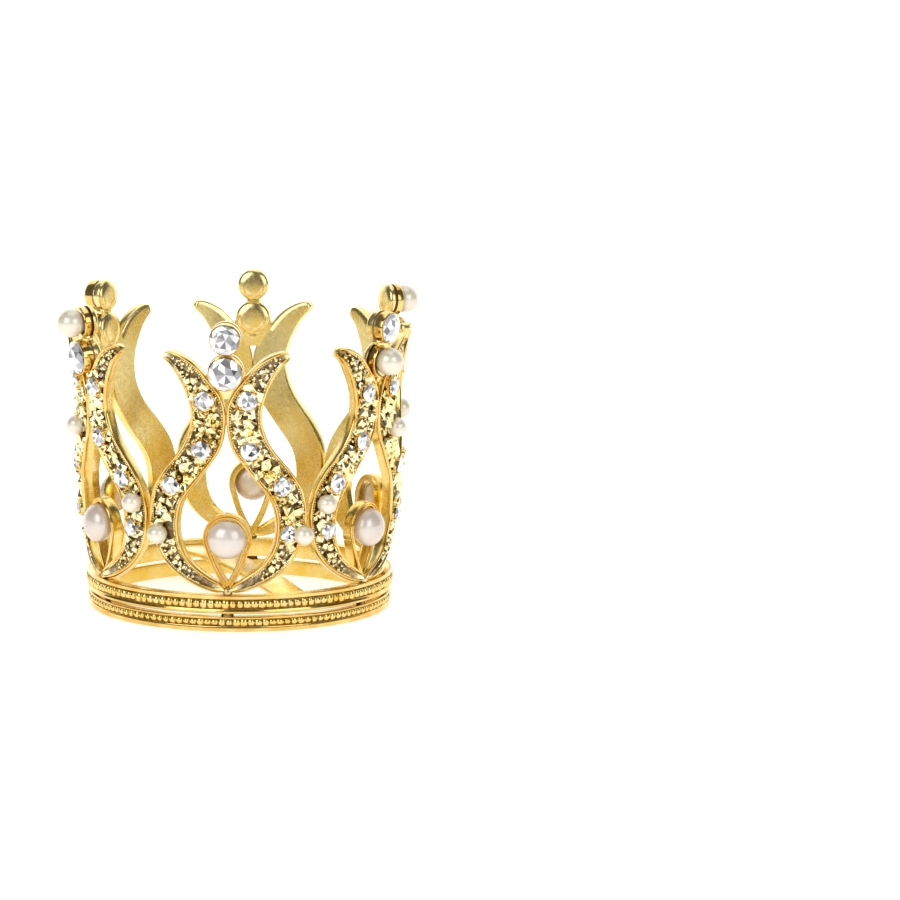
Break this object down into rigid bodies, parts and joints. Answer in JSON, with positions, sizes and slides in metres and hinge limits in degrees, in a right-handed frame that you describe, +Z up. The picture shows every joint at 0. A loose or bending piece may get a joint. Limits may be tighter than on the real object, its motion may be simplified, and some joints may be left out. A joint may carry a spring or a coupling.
{
  "type": "mini bridal crown",
  "caption": "Small round crown for the hair: two base bands, curled fleur motifs with finials, and pearls and crystals set all round.",
  "frame": {"origin": "centre of the round base at its lowest face", "axes": "+Z up along the crown's axis; the front motif faces -Y; +X to the wearer's left as seen from the front motif's outside, to the viewer's right"},
  "size_m": [0.0572, 0.0622, 0.0517],
  "materials": {
    "polished_gold": "warm yellow gold plate, polished on the rims and darkened in the recesses",
    "satin_gold": "gold plate with a satin cast surface",
    "pearl": "off-white imitation pearl with a soft lustre",
    "crystal": "clear foil-backed rhinestone, faceted"
  },
  "bodies": {
    "root": {"lower_band": "polished_gold", "upper_band": "polished_gold", "base_strap": "satin_gold", "right_ribbon_1": "polished_gold", "left_ribbon_1": "polished_gold", "pearl_loop_1": "polished_gold", "finial_1": "satin_gold", "large_pearl_1": "pearl", "right_ribbon_2": "polished_gold", "left_ribbon_2": "polished_gold", "pearl_loop_2": "polished_gold", "finial_2": "satin_gold", "large_pearl_2": "pearl", "right_ribbon_3": "polished_gold", "left_ribbon_3": "polished_gold", "pearl_loop_3": "polished_gold", "finial_3": "satin_gold", "large_pearl_3": "pearl", "right_ribbon_4": "polished_gold", "left_ribbon_4": "polished_gold", "pearl_loop_4": "polished_gold", "finial_4": "satin_gold", "large_pearl_4": "pearl", "right_ribbon_5": "polished_gold", "left_ribbon_5": "polished_gold", "pearl_loop_5": "polished_gold", "finial_5": "satin_gold", "large_pearl_5": "pearl", "right_ribbon_6": "polished_gold", "left_ribbon_6": "polished_gold", "pearl_loop_6": "polished_gold", "finial_6": "satin_gold", "large_pearl_6": "pearl", "top_stone_1": "crystal", "collar_stone_1": "crystal", "top_stone_2": "crystal", "collar_stone_2": "pearl", "top_stone_3": "pearl", "collar_stone_3": "crystal", "top_stone_4": "crystal", "collar_stone_4": "crystal", "top_stone_5": "crystal", "collar_stone_5": "pearl", "top_stone_6": "pearl", "collar_stone_6": "crystal", "small_pearl_1": "pearl", "small_pearl_2": "pearl", "small_pearl_3": "pearl", "small_pearl_4": "pearl", "small_pearl_5": "pearl", "small_pearl_6": "pearl", "small_pearl_7": "pearl", "small_pearl_8": "pearl", "small_pearl_9": "pearl", "small_pearl_10": "pearl", "small_pearl_11": "pearl", "small_pearl_12": "pearl"}
  },
  "joints": []
}
